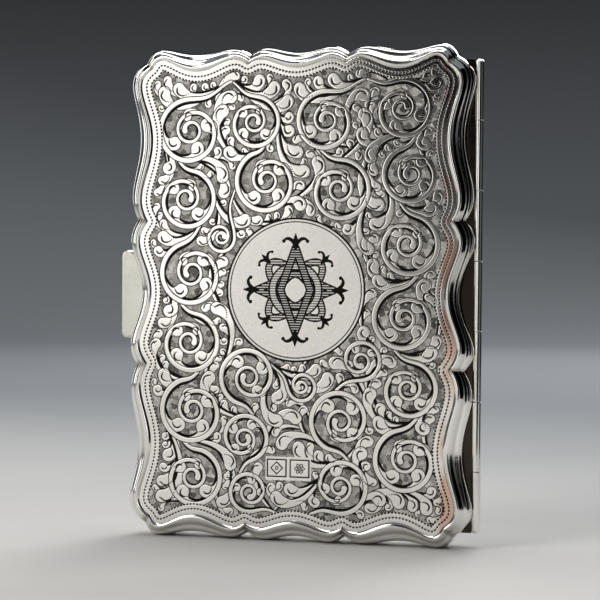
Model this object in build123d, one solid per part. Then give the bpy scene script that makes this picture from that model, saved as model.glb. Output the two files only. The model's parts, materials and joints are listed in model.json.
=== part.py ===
from build123d import *
import math
import os

# Hinged silver card case, millimetres. The origin is the centre of the back panel's outer face.
# X runs across the case towards the hinge, Y runs out of the back panel, and Z runs up the long side.

# Driving dimensions of the two stamped halves
HALF_DEPTH = 4.3        # panel face to seam
SEAM_Y = -HALF_DEPTH
SHEET = 0.6             # thickness of the silver sheet
WALL_INSET = 0.18       # sheet thickness as a share of the moulding's width
SEAM_GAP = 0.05         # each frame stands back this far from the seam

# Cusps of the scalloped outline, at the panel's border and at the outer wall: (x, z)
BORDER_CUSPS = {"corner": (31.4, 46.75), "side": (32.2, 14.9), "end": (10.45, 47.4)}
WALL_CUSPS = {"corner": (33.4, 48.6), "side": (35.5, 15.3), "end": (10.45, 49.7)}
# Height of each scallop's curve over the straight line between its cusps:
# bump nearer the middle of the side, bump nearer the corner, dip between them
BORDER_WAVES = {"side_middle": (1.7, 1.7, -0.9), "side_outer": (1.5, 2.2, -0.55),
                "end_middle": (0.95, 0.95, -0.8), "end_outer": (1.1, 1.7, -1.0)}
WALL_WAVES = {"side_middle": (1.4, 1.4, -1.2), "side_outer": (1.55, 3.1, 0.75),
              "end_middle": (1.5, 1.5, 0.5), "end_outer": (1.6, 2.4, 1.1)}
BUMP_AT = 0.19          # share of a scallop's length at which its bumps stand
END_EASE = 0.25         # crowds a scallop's curve towards both cusps
CORNER_EASE = 0.35      # crowds an outer scallop's curve towards the corner
CURVE_POINTS = 13

# Moulding section, from the seam to the bead: (share of the moulding's width, depth from the panel)
SECTION = [(1.0, -HALF_DEPTH), (1.0, -3.1), (0.95, -2.2), (0.83, -1.6), (0.72, -1.35),
           (0.55, -1.0), (0.40, -0.45), (0.28, 0.1), (0.16, 0.35)]
BEAD_TOP = SECTION[-1][1]
CAVITY = [(1.0 - WALL_INSET, -HALF_DEPTH), (1.0 - WALL_INSET, -3.3), (0.66, -2.3),
          (0.40, -1.7), (0.05, -0.9), (-0.12, -SHEET)]

# Gilt frames, which close each half to a rectangular opening
FRAME_SHEET = 0.6
OPENING_X = 30.0        # half the opening's width
OPENING_Z = 45.2        # half the opening's height
OPENING_RADIUS = 2.5

# Hinge
HINGE_X = 37.3
BARREL_RADIUS = 1.0
PIN_RADIUS = 0.5
PIN_CLEARANCE = 0.05
KNUCKLES = 7
KNUCKLE_PITCH = 14.25
KNUCKLE_GAP = 0.06      # half the gap between two knuckles
HINGE_HALF = 48.0
BARREL_CHAMFER = 0.45
BEARER_X = 33.7         # inner edge of the bearer strips
BEARER_OUTER_X = 36.9
BEARER_SHEET = 0.8
SWEEP_CLEARANCE = 0.08

# Thumb piece on the front half
THUMB_X = -39.3
THUMB_Z = -0.4
THUMB_LENGTH = 18.6
THUMB_SHEET = 1.0
THUMB_RADIUS = 1.2
THUMB_BEVEL = 0.35

# Linings and the pocket divider
BOARD = 0.8
LEATHER = 0.5
BOARD_X = 30.4
BOARD_Z = 45.6
BOARD_RADIUS = 2.0
LINING_FACE = -(SHEET + BOARD + LEATHER)
DIVIDER_PLY = 0.3
DIVIDER_LEFT = -28.8
DIVIDER_RIGHT = 28.6
DIVIDER_Z = 45.0
DIVIDER_RADIUS = 2.5
FINGER_NOTCH_RADIUS = 9.0
FINGER_NOTCH_DEPTH = 5.0

# Silk gussets
GUSSET_Z = 44.95
GUSSET_PLY = 0.45       # thickness measured along Z
GUSSET_FOLD = 1.95      # how far the fold reaches into the pocket
GUSSET_LEFT = -28.0
GUSSET_RIGHT = 28.8
SPINE_X = 29.0
SPINE_Z = 43.5
SPINE_PLY = 0.4

# Snap catch at the opening side
SPRING_X = -32.2        # outer face of the spring strip
SPRING_SHEET = 0.3
SPRING_FOOT_Z = -7.0    # the strip is riveted and flexes here
SPRING_BOTTOM = -9.0
SPRING_TOP = 9.0
SPRING_REACH = 1.9      # height of the strip over the seam
NIB_RADIUS = 0.3
NIB_HALF = 2.5
LUG_GAP = 0.05
LUG_SHEET = 0.5
LUG_TOP = -5.8
RIVET_Y = -5.05
RIVET_RADIUS = 0.4
RIVET_HEAD = 0.65
RIVET_HEAD_SHEET = 0.25
SLOT_MARGIN = 0.5
KEEPER_GAP = 0.05
KEEPER_SHEET = 0.4
KEEPER_HALF = 4.0


def between(low, high, share):
    return tuple(a + (b - a) * share for a, b in zip(low, high))


def scallop(start, end, wave, outward, corner_ease):
    """Points of one scallop between two cusps. The curve has a bump near each cusp and a dip between them."""
    near, far, dip = wave
    first = math.sin(math.pi * BUMP_AT)
    third = math.sin(3 * math.pi * BUMP_AT)
    a3 = ((near + far) / 2 - first * dip) / (first + third)
    a1 = dip + a3
    a2 = (near - far) / 2 / math.sin(2 * math.pi * BUMP_AT)
    points = []
    for i in range(CURVE_POINTS):
        t = i / (CURVE_POINTS - 1)
        height = a1 * math.sin(math.pi * t) + a2 * math.sin(2 * math.pi * t) + a3 * math.sin(3 * math.pi * t)
        along = t - END_EASE * math.sin(2 * math.pi * t) / (2 * math.pi) + corner_ease * t * t * (1 - t)
        x, z = between(start, end, along)
        points.append((x + outward[0] * height, z + outward[1] * height))
    return points


def outline(share, y):
    """Closed scalloped wire at depth y. Share 0 is the panel's border and share 1 is the outer wall."""
    corner, side, end = (between(BORDER_CUSPS[k], WALL_CUSPS[k], share) for k in ("corner", "side", "end"))
    wave = {k: between(BORDER_WAVES[k], WALL_WAVES[k], share) for k in BORDER_WAVES}
    side_outer = scallop(side, corner, wave["side_outer"], (1, 0), CORNER_EASE)
    end_outer = scallop(end, corner, wave["end_outer"], (0, 1), CORNER_EASE)
    side_middle = scallop((side[0], -side[1]), side, wave["side_middle"], (1, 0), 0)
    end_middle = scallop(end, (-end[0], end[1]), wave["end_middle"], (0, 1), 0)
    curves = []
    for sx, sz in ((1, 1), (-1, 1), (-1, -1), (1, -1)):
        for points in (side_outer, end_outer):
            curves.append([(sx * x, sz * z) for x, z in points])
    for s in (1, -1):
        curves.append([(s * x, s * z) for x, z in side_middle])
        curves.append([(s * x, s * z) for x, z in end_middle])
    return Wire([Spline(*[Vector(x, y, z) for x, z in points]) for points in curves])


def scalloped_solid(section):
    return Solid.make_loft([outline(share, y) for share, y in section], ruled=True)


def scalloped_plate(share, y_low, y_high):
    return Solid.make_loft([outline(share, y_low), outline(share, y_high)], ruled=True)


def box(x0, x1, y0, y1, z0, z1):
    return Pos((x0 + x1) / 2, (y0 + y1) / 2, (z0 + z1) / 2) * Box(abs(x1 - x0), abs(y1 - y0), abs(z1 - z0))


def rounded_plate(x0, x1, half_z, radius, y0, y1):
    plate = box(x0, x1, y0, y1, -half_z, half_z)
    return fillet(plate.edges().filter_by(Axis.Y), radius)


def rod(radius, z0, z1):
    """Cylinder along the hinge axis."""
    return Pos(HINGE_X, SEAM_Y, (z0 + z1) / 2) * Cylinder(radius, z1 - z0)


def to_front(shape):
    """The front half's copy of a back-half shape, mirrored in the seam."""
    return mirror(shape, about=Plane.XZ.offset(-SEAM_Y))


def hinge_rebate(sheet):
    """Straight seat along the hinge side, where a bearer strip and the barrel lie."""
    seat = box(BEARER_X, HINGE_X + 5, SEAM_Y - 1, SEAM_Y + SEAM_GAP + sheet, -HINGE_HALF, HINGE_HALF)
    return seat + rod(BARREL_RADIUS + SWEEP_CLEARANCE, -HINGE_HALF - 1, HINGE_HALF + 1)


def knuckle_spans():
    """(low z, high z) of each knuckle, bottom to top. The first and last run out to the hinge's ends."""
    joints = [(i - (KNUCKLES - 2) / 2) * KNUCKLE_PITCH for i in range(KNUCKLES - 1)]
    edges = [-HINGE_HALF] + joints + [HINGE_HALF]
    return list(zip(edges[:-1], edges[1:]))


def cover():
    shell = scalloped_solid(SECTION)
    shell -= scalloped_solid([(0.0, 0.0), (SECTION[-1][0], BEAD_TOP)])
    shell -= scalloped_solid(CAVITY)
    return shell - hinge_rebate(BEARER_SHEET)


def frame():
    """Flat gilt ring soldered inside a half's wall, just behind the seam."""
    y0 = SEAM_Y + SEAM_GAP
    ring = scalloped_plate(1.0 - WALL_INSET, y0, y0 + FRAME_SHEET)
    ring -= rounded_plate(-OPENING_X, OPENING_X, OPENING_Z, OPENING_RADIUS, y0 - 1, y0 + FRAME_SHEET + 1)
    return ring - hinge_rebate(BEARER_SHEET)


def hinge_bearer(own_knuckles):
    """Strip that joins a half's wall to its knuckles. It is hollowed to the barrel, wider past the other half's."""
    y0 = SEAM_Y + SEAM_GAP
    strip = box(BEARER_X, BEARER_OUTER_X, y0, y0 + BEARER_SHEET, -HINGE_HALF, HINGE_HALF)
    for i, (z0, z1) in enumerate(knuckle_spans()):
        if i in own_knuckles:
            strip -= rod(BARREL_RADIUS, z0 - KNUCKLE_GAP, z1 + KNUCKLE_GAP)
        else:
            strip -= rod(BARREL_RADIUS + SWEEP_CLEARANCE, z0 - KNUCKLE_GAP, z1 + KNUCKLE_GAP)
    return strip


def knuckles(own_knuckles):
    """Joint tubes. The two end tubes grip the pin, and the others turn on it."""
    spans = knuckle_spans()
    tubes = []
    for i in own_knuckles:
        z0, z1 = spans[i]
        first, last = i == 0, i == KNUCKLES - 1
        z0 += 0 if first else KNUCKLE_GAP
        z1 -= 0 if last else KNUCKLE_GAP
        tube = rod(BARREL_RADIUS, z0, z1)
        if first or last:
            rims = tube.edges().filter_by(GeomType.CIRCLE).sort_by(Axis.Z)
            tube = chamfer(rims[-1] if last else rims[0], BARREL_CHAMFER)
        bore = PIN_RADIUS if first or last else PIN_RADIUS + PIN_CLEARANCE
        tubes.append(tube - rod(bore, z0 - 1, z1 + 1))
    return Compound(tubes)


def hinge_pin():
    return rod(PIN_RADIUS, -HINGE_HALF, HINGE_HALF)


def thumb_piece():
    """Flat finger plate on the front half's opening side, fitted to the scalloped wall."""
    y1 = SEAM_Y - SEAM_GAP
    y0 = y1 - THUMB_SHEET
    z0, z1 = THUMB_Z - THUMB_LENGTH / 2, THUMB_Z + THUMB_LENGTH / 2
    plate = box(THUMB_X, -OPENING_X, y0, y1, z0, z1)
    corners = plate.edges().filter_by(Axis.Y).group_by(Axis.X)[0]
    plate = fillet(corners, THUMB_RADIUS)
    front_rim = plate.faces().sort_by(Axis.Y)[0].outer_wire().edges()
    plate = chamfer(front_rim, THUMB_BEVEL)
    return plate - to_front(scalloped_solid(SECTION))


def board():
    """Stiff card glued inside the panel."""
    return rounded_plate(-BOARD_X, BOARD_X, BOARD_Z, BOARD_RADIUS, -SHEET - BOARD, -SHEET)


def lining():
    """Leather on the board."""
    return rounded_plate(-BOARD_X, BOARD_X, BOARD_Z, BOARD_RADIUS, LINING_FACE, -SHEET - BOARD)


def divider_ply(layer):
    """One of the divider's three plies. Layer 0 is the stiff core, and layers -1 and 1 are the leather faces."""
    middle = SEAM_Y + layer * DIVIDER_PLY
    ply = rounded_plate(DIVIDER_LEFT, DIVIDER_RIGHT, DIVIDER_Z, DIVIDER_RADIUS,
                        middle - DIVIDER_PLY / 2, middle + DIVIDER_PLY / 2)
    centre_x = DIVIDER_LEFT + FINGER_NOTCH_DEPTH - FINGER_NOTCH_RADIUS
    notch = Pos(centre_x, middle, 0) * Rot(90, 0, 0) * Cylinder(FINGER_NOTCH_RADIUS, 2 * DIVIDER_PLY)
    return ply - notch


def end_gusset(top):
    """Silk that closes one end of the back pocket. It folds inwards between the lining and the divider."""
    y_lining = LINING_FACE
    y_divider = SEAM_Y + 1.5 * DIVIDER_PLY
    y_fold = (y_lining + y_divider) / 2
    z_fold = GUSSET_Z - GUSSET_FOLD
    corners = [(y_lining, GUSSET_Z), (y_fold, z_fold), (y_divider, GUSSET_Z),
               (y_divider, GUSSET_Z - GUSSET_PLY), (y_fold, z_fold - GUSSET_PLY), (y_lining, GUSSET_Z - GUSSET_PLY)]
    sign = 1 if top else -1
    section = Wire.make_polygon([Vector(GUSSET_LEFT, y, sign * z) for y, z in corners], close=True)
    return Solid.extrude(Face(section), Vector(GUSSET_RIGHT - GUSSET_LEFT, 0, 0))


def spine_gusset():
    """Silk strip that closes both pockets along the hinge side."""
    front_lining_face = 2 * SEAM_Y - LINING_FACE
    return box(SPINE_X, SPINE_X + SPINE_PLY, front_lining_face, LINING_FACE, -SPINE_Z, SPINE_Z)


def catch_spring():
    """Spring strip that stands through the seam, with a rounded nib that bears on the keeper."""
    y0 = SEAM_Y - SPRING_REACH
    strip = box(SPRING_X, SPRING_X + SPRING_SHEET, y0, SEAM_Y - 0.02, SPRING_BOTTOM, SPRING_TOP)
    nib = Pos(SPRING_X, (y0 + SEAM_Y) / 2, 0) * Cylinder(NIB_RADIUS, 2 * NIB_HALF)
    strip += nib & box(SPRING_X - 1, SPRING_X + SPRING_SHEET, y0, SEAM_Y, -NIB_HALF, NIB_HALF)
    return strip - rivet_rod(RIVET_RADIUS + PIN_CLEARANCE)


def rivet_rod(radius):
    return Pos(SPRING_X, RIVET_Y, SPRING_FOOT_Z) * Rot(0, 90, 0) * Cylinder(radius, 6)


def catch_lug():
    """Upright soldered to the back frame, which carries the spring's foot."""
    x0 = SPRING_X + SPRING_SHEET + LUG_GAP
    lug = box(x0, x0 + LUG_SHEET, LUG_TOP, SEAM_Y + SEAM_GAP, SPRING_BOTTOM, SPRING_FOOT_Z + 2)
    return lug - rivet_rod(RIVET_RADIUS)


def catch_rivet():
    lug_face = SPRING_X + SPRING_SHEET + LUG_GAP + LUG_SHEET
    shank_left = SPRING_X - LUG_GAP
    shank_length = lug_face - shank_left
    across = Pos(shank_left, RIVET_Y, SPRING_FOOT_Z) * Rot(0, 90, 0)
    shank = across * Pos(0, 0, shank_length / 2) * Cylinder(RIVET_RADIUS, shank_length)
    head = across * Pos(0, 0, -RIVET_HEAD_SHEET / 2) * Cylinder(RIVET_HEAD, RIVET_HEAD_SHEET)
    return shank + head


def front_frame():
    """The front ring has a slot for the spring and its lug."""
    slot = box(SPRING_X - NIB_RADIUS - SLOT_MARGIN, -OPENING_X - SLOT_MARGIN, 2 * SEAM_Y, SEAM_Y,
               SPRING_BOTTOM - SLOT_MARGIN, SPRING_TOP + SLOT_MARGIN)
    return to_front(frame()) - slot


def catch_keeper():
    """Small bar soldered behind the front frame, along the slot's outer edge."""
    x1 = SPRING_X - NIB_RADIUS - KEEPER_GAP
    y1 = SEAM_Y - SEAM_GAP - FRAME_SHEET
    return box(x1 - KEEPER_SHEET, x1, SEAM_Y - SPRING_REACH, y1, -KEEPER_HALF, KEEPER_HALF)


def build():
    back_set = range(0, KNUCKLES, 2)
    front_set = range(1, KNUCKLES, 2)
    return {
        "back_cover": cover(),
        "back_frame": frame(),
        "back_hinge_bearer": hinge_bearer(back_set),
        "back_knuckles": knuckles(back_set),
        "hinge_pin": hinge_pin(),
        "back_board": board(),
        "back_lining": lining(),
        "top_back_gusset": end_gusset(top=True),
        "bottom_back_gusset": end_gusset(top=False),
        "spine_gusset": spine_gusset(),
        "catch_lug": catch_lug(),
        "catch_rivet": catch_rivet(),
        "catch_spring": catch_spring(),
        "divider_core": divider_ply(0),
        "divider_back_leather": divider_ply(1),
        "divider_front_leather": divider_ply(-1),
        "front_cover": to_front(cover()),
        "front_frame": front_frame(),
        "front_hinge_bearer": to_front(hinge_bearer(front_set)),
        "front_knuckles": knuckles(front_set),
        "thumb_piece": thumb_piece(),
        "front_board": to_front(board()),
        "front_lining": to_front(lining()),
        "top_front_gusset": to_front(end_gusset(top=True)),
        "bottom_front_gusset": to_front(end_gusset(top=False)),
        "catch_keeper": catch_keeper(),
    }


os.makedirs("parts", exist_ok=True)
for name, shape in build().items():
    export_step(shape, f"parts/{name}.step")
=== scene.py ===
import json
import math

import bmesh
import bpy
import numpy as np
from mathutils import Euler, Matrix, Vector


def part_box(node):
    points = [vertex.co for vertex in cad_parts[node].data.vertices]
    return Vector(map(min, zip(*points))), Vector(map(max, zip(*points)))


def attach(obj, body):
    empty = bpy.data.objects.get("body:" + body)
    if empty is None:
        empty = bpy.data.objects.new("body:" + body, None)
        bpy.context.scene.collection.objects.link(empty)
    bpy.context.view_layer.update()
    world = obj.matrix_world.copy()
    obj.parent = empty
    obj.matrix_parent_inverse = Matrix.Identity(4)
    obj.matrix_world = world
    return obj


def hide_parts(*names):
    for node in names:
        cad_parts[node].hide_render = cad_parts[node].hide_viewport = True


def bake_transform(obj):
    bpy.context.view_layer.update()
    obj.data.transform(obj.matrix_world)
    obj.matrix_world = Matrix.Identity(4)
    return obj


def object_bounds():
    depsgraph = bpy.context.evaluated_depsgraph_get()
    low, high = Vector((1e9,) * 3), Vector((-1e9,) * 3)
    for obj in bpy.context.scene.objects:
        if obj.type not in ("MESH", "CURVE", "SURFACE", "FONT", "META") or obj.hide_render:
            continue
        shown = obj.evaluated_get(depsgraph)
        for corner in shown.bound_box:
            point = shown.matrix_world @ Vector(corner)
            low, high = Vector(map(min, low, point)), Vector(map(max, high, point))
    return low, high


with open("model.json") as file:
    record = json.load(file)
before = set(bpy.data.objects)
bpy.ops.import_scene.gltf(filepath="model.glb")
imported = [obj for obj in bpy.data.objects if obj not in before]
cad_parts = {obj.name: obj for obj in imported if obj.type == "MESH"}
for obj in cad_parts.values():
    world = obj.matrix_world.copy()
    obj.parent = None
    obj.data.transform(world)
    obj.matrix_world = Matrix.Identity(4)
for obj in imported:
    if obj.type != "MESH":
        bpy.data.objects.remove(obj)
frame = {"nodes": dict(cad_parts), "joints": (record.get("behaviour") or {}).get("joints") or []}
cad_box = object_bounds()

# A hinged silver card case. Every length below is in millimetres, in the frame of the CAD:
# X runs towards the hinge, Y out of the back panel, Z up. MM turns them into metres.
MM = 0.001


def node_box(node):
    """Lowest and highest corners of a CAD node, in millimetres."""
    return [np.array(corner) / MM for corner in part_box(node)]


HINGE = next(joint for joint in frame["joints"] if joint["name"] == "case_hinge")
HINGE_X, SEAM_Y = (value / MM for value in HINGE["pos_m"][:2])
FLOOR_Z = cad_box[0].z / MM
LINING_LOW, LINING_HIGH = node_box("back_lining")
DIVIDER_LOW, DIVIDER_HIGH = node_box("divider_core")
GUSSET_LOW, GUSSET_HIGH = node_box("top_back_gusset")
SPINE_LOW, SPINE_HIGH = node_box("spine_gusset")
BEARER_LOW, BEARER_HIGH = node_box("back_hinge_bearer")

# The scalloped outline, as the covers have it: cusps (x, z) and each scallop's bumps and dip
BORDER_CUSPS = {"corner": (31.4, 46.75), "side": (32.2, 14.9), "end": (10.45, 47.4)}
WALL_CUSPS = {"corner": (33.4, 48.6), "side": (35.5, 15.3), "end": (10.45, 49.7)}
BORDER_WAVES = {"side_middle": (1.7, 1.7, -0.9), "side_outer": (1.5, 2.2, -0.55),
                "end_middle": (0.95, 0.95, -0.8), "end_outer": (1.1, 1.7, -1.0)}
WALL_WAVES = {"side_middle": (1.4, 1.4, -1.2), "side_outer": (1.55, 3.1, 0.75),
              "end_middle": (1.5, 1.5, 0.5), "end_outer": (1.6, 2.4, 1.1)}
BUMP_AT = 0.19
END_EASE = 0.25
CORNER_EASE = 0.35
SCALLOP_STEPS = 56
SEAM_GAP = 0.05

# The moulding's section: (share of its width from border to wall, height over the panel)
MOULDING = ((-0.03, -0.12), (0.0, -0.02), (0.05, 0.14), (0.11, 0.28), (0.19, 0.35), (0.28, 0.32),
            (0.36, 0.16), (0.43, -0.14), (0.50, -0.50), (0.57, -0.80), (0.64, -0.98), (0.72, -1.07),
            (0.80, -1.20), (0.87, -1.50), (0.93, -1.95), (0.97, -2.45), (0.99, -2.95), (1.0, -3.5),
            (1.0, -4.25))
CAVITY = ((0.82, -4.25), (0.82, -3.3), (0.66, -2.3), (0.40, -1.7), (0.05, -0.9), (-0.10, -0.5))

# Relief of the engraved panels
GROUND_DEPTH = 0.005     # how far the hatched ground lies below the leaves
CUT_DEPTH = 0.02
LEAF_RISE = 0.001
WAVE_SLOPE = 0.0055      # unevenness of the sheet
PLATE_DEPTH = 0.55
BARREL_CLEARANCE = 1.08
DASH_ROWS = (0.95, 1.95)
DASH_PITCH = 0.72
DASH_WIDTH = 0.32

# Leather, thread and silk
NOTCH_RADIUS = 9.0
NOTCH_DEPTH = 5.0
# profiles of the leather's edge: (distance in from the edge, share of the thickness)
LINING_PROFILE = ((0.0, 0.0), (0.0, 0.55), (0.06, 0.84), (0.25, 1.0), (2.30, 1.0), (2.42, 0.80), (2.66, 0.80),
                  (2.78, 1.0), (3.40, 1.0), (3.46, 0.92), (3.60, 0.92), (3.66, 1.0), (6.0, 1.0))
DIVIDER_PROFILE = ((0.0, 0.0), (0.0, 0.5), (0.04, 0.80), (0.16, 1.0), (1.55, 1.0), (1.63, 0.75), (1.80, 0.75),
                   (1.88, 1.0), (2.40, 1.0), (2.45, 0.88), (2.58, 0.88), (2.63, 1.0), (4.0, 1.0))
GILT_BAND = 9            # the step of both profiles that is gilt
STITCH_PITCH = 1.5
STITCH_LENGTH = 1.0
STITCH_RADIUS = 0.11
# rings of one stitch: (place along it, lift, radius), as shares of its length and radius
STITCH_RINGS = ((-0.5, -0.8, 0.35), (-0.38, 0.1, 0.9), (0.0, 0.45, 1.0), (0.38, 0.1, 0.9), (0.5, -0.8, 0.35))
SILK_SHEET = 0.16
SILK_RIPPLE = 0.06
SILK_REACHES = (0.6, 1.1, 1.9, 3.7)    # lengths of the ripples that are added up
SILK_STEP = 0.16
SILK_TUCK = 0.03         # gap left between silk and leather

# Camera: azimuth towards the hinge, elevation and roll in degrees
CAMERA_ANGLES = (16.243, 0.827, 0.501)
CAMERA_DISTANCE = 416.2
CAMERA_LENS = 121.37
CAMERA_SHIFT = (0.00867, -0.0094)

# Black cards that the rim reflects: azimuths in degrees, and their distance in metres
DARK_CARDS = (40, 102)
DARK_CARD_DISTANCE = 0.22

# Engraving pattern
PITCH = 0.12
PANEL_HALF = (34.56, 49.56)
BAND = 2.0
CARTOUCHE = (0.1, 0.9, 14.7)        # x, z, radius
MARKS = (-1.1, -35.9, 4.9, 2.4)     # x, z, half width, half height
LINE = 0.17                         # engraved outline round a leaf
LINE_TONE = 0.8
ROOM_REACH = 2.6                    # gaps are measured no wider than this
LOZENGE = np.array([(0, 1), (1, 0), (0, -1), (-1, 0), (0, 1)])
# each vine: where it starts, the turn of its first scroll, and (x, z, radius) of its scrolls
VINES = (
    ((-14.0, 44.0), 1, ((-23.1, 33.9, 6.5), (-23.7, 19.7, 6.0), (-22.6, 4.2, 6.4), (-22.8, -10.2, 6.1),
                        (-22.2, -24.4, 6.6), (-21.8, -38.4, 5.9))),
    ((-14.0, 44.0), -1, ((-9.0, 35.6, 5.2), (-6.4, 23.4, 6.3), (-16.0, 11.6, 2.9))),
    ((14.6, 44.0), 1, ((6.4, 35.8, 5.9), (9.4, 21.6, 6.1))),
    ((14.6, 44.0), -1, ((22.4, 38.0, 5.9), (24.2, 24.6, 5.6), (23.8, 10.4, 6.1), (23.0, -4.6, 6.2),
                        (24.2, -18.9, 5.6), (23.6, -33.4, 6.3))),
    ((-2.0, -45.6), -1, ((-9.6, -41.2, 4.0), (-10.6, -30.0, 4.8), (-10.0, -17.4, 5.8), (1.6, -19.0, 2.9))),
    ((2.0, -45.6), 1, ((10.0, -39.4, 5.4), (9.8, -26.0, 6.1), (14.2, -13.4, 3.9))),
)
STEM_BOW = 0.10
ROOT_TURNS = 0.7                    # leaves in the gaps spring from this much of each scroll
SMALLEST_GAP = 0.86
# a scroll's radius at each quarter turn, as a share of its first
COIL = (1.0, 1.0, 0.96, 0.78, 0.48, 0.38, 0.36, 0.33, 0.24, 0.14)


def between(low, high, share):
    return tuple(a + (b - a) * share for a, b in zip(low, high))


def scallop(start, end, wave, outward, corner_ease):
    """Points from one cusp up to the next, with a bump near each cusp and a dip between the bumps."""
    near, far, dip = wave
    first, third = math.sin(math.pi * BUMP_AT), math.sin(3 * math.pi * BUMP_AT)
    a3 = ((near + far) / 2 - first * dip) / (first + third)
    a2 = (near - far) / 2 / math.sin(math.tau * BUMP_AT)
    t = np.linspace(0, 1, SCALLOP_STEPS + 1)[:, None]
    height = (dip + a3) * np.sin(math.pi * t) + a2 * np.sin(math.tau * t) + a3 * np.sin(3 * math.pi * t)
    along = t - END_EASE * np.sin(math.tau * t) / math.tau + corner_ease * t * t * (1 - t)
    start, end = np.array(start), np.array(end)
    return start + (end - start) * along + np.array(outward) * height


def outline(share):
    """Closed scalloped line (x, z), counterclockwise, from the panel's border (share 0) to the wall (1)."""
    corner, side, end = (between(BORDER_CUSPS[k], WALL_CUSPS[k], share) for k in ("corner", "side", "end"))
    wave = {k: between(BORDER_WAVES[k], WALL_WAVES[k], share) for k in BORDER_WAVES}
    side_outer = scallop(side, corner, wave["side_outer"], (1, 0), CORNER_EASE)
    end_outer = scallop(end, corner, wave["end_outer"], (0, 1), CORNER_EASE)
    side_middle = scallop((side[0], -side[1]), side, wave["side_middle"], (1, 0), 0)
    end_middle = scallop(end, (-end[0], end[1]), wave["end_middle"], (0, 1), 0)
    flip = np.array((-1, 1))
    half = [side_middle, side_outer, end_outer[::-1], end_middle, end_outer * flip, (side_outer * flip)[::-1]]
    half = np.concatenate([curve[:-1] for curve in half])
    return np.concatenate([half, -half])


# Meshes

def add_piece(name, points, faces, materials, body=None, nodes=(), smooth_angle=None):
    """Mesh object from points in millimetres and arrays of faces, in place of these CAD nodes."""
    mesh = bpy.data.meshes.new(name)
    faces = [face for group in faces for face in np.asarray(group).tolist()]
    mesh.from_pydata(np.asarray(points, np.float32) * MM, [], faces)
    mesh.validate()
    mesh.shade_smooth()
    if smooth_angle is not None:
        mesh.set_sharp_from_angle(angle=math.radians(smooth_angle))
    for material in materials:
        mesh.materials.append(material)
    piece = bpy.data.objects.new(name, mesh)
    bpy.context.scene.collection.objects.link(piece)
    if body:
        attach(piece, body)
    if nodes:
        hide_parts(*nodes)
    return piece


def ring_faces(rings, around, closed=False, first=0):
    """Quads between successive rings of points that are numbered ring by ring."""
    i = np.arange(around)
    j = (i + 1) % around
    low = np.arange(rings if closed else rings - 1)[:, None]
    high = (low + 1) % rings
    quads = np.stack([low * around + i, low * around + j, high * around + j, high * around + i], -1)
    return quads.reshape(-1, 4) + first


def fan(loop, centre):
    """Triangles from a closed loop of point numbers to a centre point."""
    return np.stack([loop, np.roll(loop, -1), np.full(len(loop), centre)], 1)


def spokes(angle):
    """Unit vectors at these angles."""
    return np.stack([np.cos(angle), np.sin(angle)], -1)


def set_mask(piece, name, values):
    layer = piece.data.attributes.new(name, "FLOAT", "POINT")
    layer.data.foreach_set("value", np.asarray(values, np.float32).ravel())


def smooth_section(section, steps):
    """Section points joined by a Catmull-Rom curve."""
    knots = np.array((section[0],) + section + (section[-1],), float)
    parts = []
    t = np.linspace(0, 1, steps, endpoint=False)[:, None]
    for a, b, c, d in zip(knots, knots[1:], knots[2:], knots[3:]):
        square, cube = 2 * a - 5 * b + 4 * c - d, 3 * b - a - 3 * c + d
        parts.append(0.5 * (2 * b + (c - a) * t + square * t ** 2 + cube * t ** 3))
    return np.concatenate(parts + [knots[-1:]])


def to_world(x, height, z, front):
    """Points over a half's panel. Height runs out of the back panel, or out of the front one."""
    y = 2 * SEAM_Y - height if front else height
    return np.stack(np.broadcast_arrays(x, y, z), -1)


def span(axis, low, high):
    return slice(*np.searchsorted(axis, (low, high)))


class Grid:
    """A square grid laid over the panel. Rows run up it (z) and columns across it (x)."""

    def __init__(self, half_x, half_z, pitch):
        self.pitch = pitch
        self.x = np.arange(-half_x, half_x + pitch / 2, pitch)
        self.z = np.arange(-half_z, half_z + pitch / 2, pitch)

    def blank(self, value=0.0):
        return np.full((len(self.z), len(self.x)), value, np.float32)

    def away(self, x, z):
        return np.hypot(self.x[None, :] - x, self.z[:, None] - z)

    def distance(self, points, radii, reach):
        """Window round a stroke of round dabs, and the signed distance to the stroke there, out to reach."""
        radii = np.broadcast_to(radii, len(points))
        field = self.blank(reach)
        far = radii.max() + reach
        low, high = points.min(0) - far, points.max(0) + far
        for (x, z), radius in zip(points, radii):
            near = radius + reach
            r, c = span(self.z, z - near, z + near), span(self.x, x - near, x + near)
            dab = np.hypot(self.x[None, c] - x, self.z[r, None] - z) - radius
            np.minimum(field[r, c], dab, out=field[r, c])
        window = span(self.z, low[1], high[1]), span(self.x, low[0], high[0])
        return window, field[window]


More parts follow.
